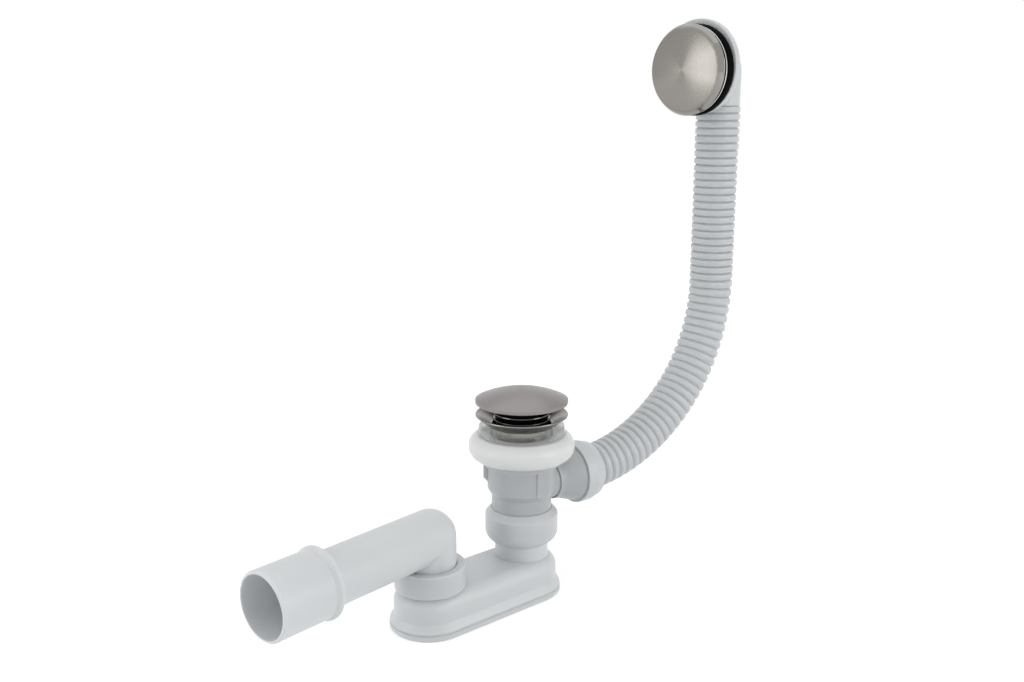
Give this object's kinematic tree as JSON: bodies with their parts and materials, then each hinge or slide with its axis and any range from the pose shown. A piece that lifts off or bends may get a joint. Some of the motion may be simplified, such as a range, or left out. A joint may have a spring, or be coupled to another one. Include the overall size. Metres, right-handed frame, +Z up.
{
  "type": "bath waste and overflow",
  "caption": "Click-clack bath waste with a flat swivelling trap, an outlet bend and a corrugated overflow hose that rises to a round capped overflow head.",
  "frame": {"origin": "where the waste's upright axis meets the floor under the trap", "axes": "Z up along the waste; X level, from the outlet's end towards the overflow's end along the head's axis"},
  "size_m": [0.4614, 0.1074, 0.4464],
  "materials": {
    "white_pp": "moulded satin",
    "hose_pp": "blown satin",
    "white_rubber": "moulded satin",
    "clear_silicone": "clear gloss",
    "black_rubber": "moulded gloss",
    "black_plastic": "moulded",
    "satin_metal": "satin plated",
    "bright_metal": "polished",
    "brass": "turned"
  },
  "bodies": {
    "trap": {"trap_body": "white_pp", "trap_base": "white_pp", "outlet_nut": "white_pp", "outlet_seal": "black_rubber"},
    "waste": {"waste_body": "white_pp", "inlet_nut": "white_pp", "inlet_gasket": "black_rubber", "lower_washer": "white_rubber", "upper_gasket": "clear_silicone", "waste_cup": "satin_metal", "cartridge_housing": "brass", "plunger_spring": "bright_metal", "branch_nut": "white_pp", "branch_seal": "black_rubber", "overflow_hose": "hose_pp", "overflow_body": "white_pp", "overflow_gasket": "black_rubber", "overflow_rosette": "bright_metal", "cap_carrier": "black_plastic", "fixing_screw": "bright_metal", "overflow_cap": "satin_metal"},
    "plug": {"plug_cap": "satin_metal", "plug_core": "black_plastic", "plug_seal": "black_rubber", "plunger": "bright_metal"},
    "outlet": {"outlet_pipe": "white_pp"}
  },
  "joints": [
    {"name": "waste_swivel", "type": "hinge", "parent": "trap", "child": "waste", "pos_m": [0, 0, 0.048], "axis": [0, 0, 1], "range_deg": [-90, 90]},
    {"name": "plug_press", "type": "slide", "parent": "waste", "child": "plug", "axis": [0, 0, 1], "range_m": [-0.0085, 0], "stiffness_N_per_m": 300, "springref_m": 0.02, "deforming": ["plunger_spring"]},
    {"name": "outlet_swivel", "type": "hinge", "parent": "trap", "child": "outlet", "pos_m": [-0.09013, 0.00551, 0.0703], "axis": [0, 0, 1], "range_deg": [-90, 90]}
  ]
}
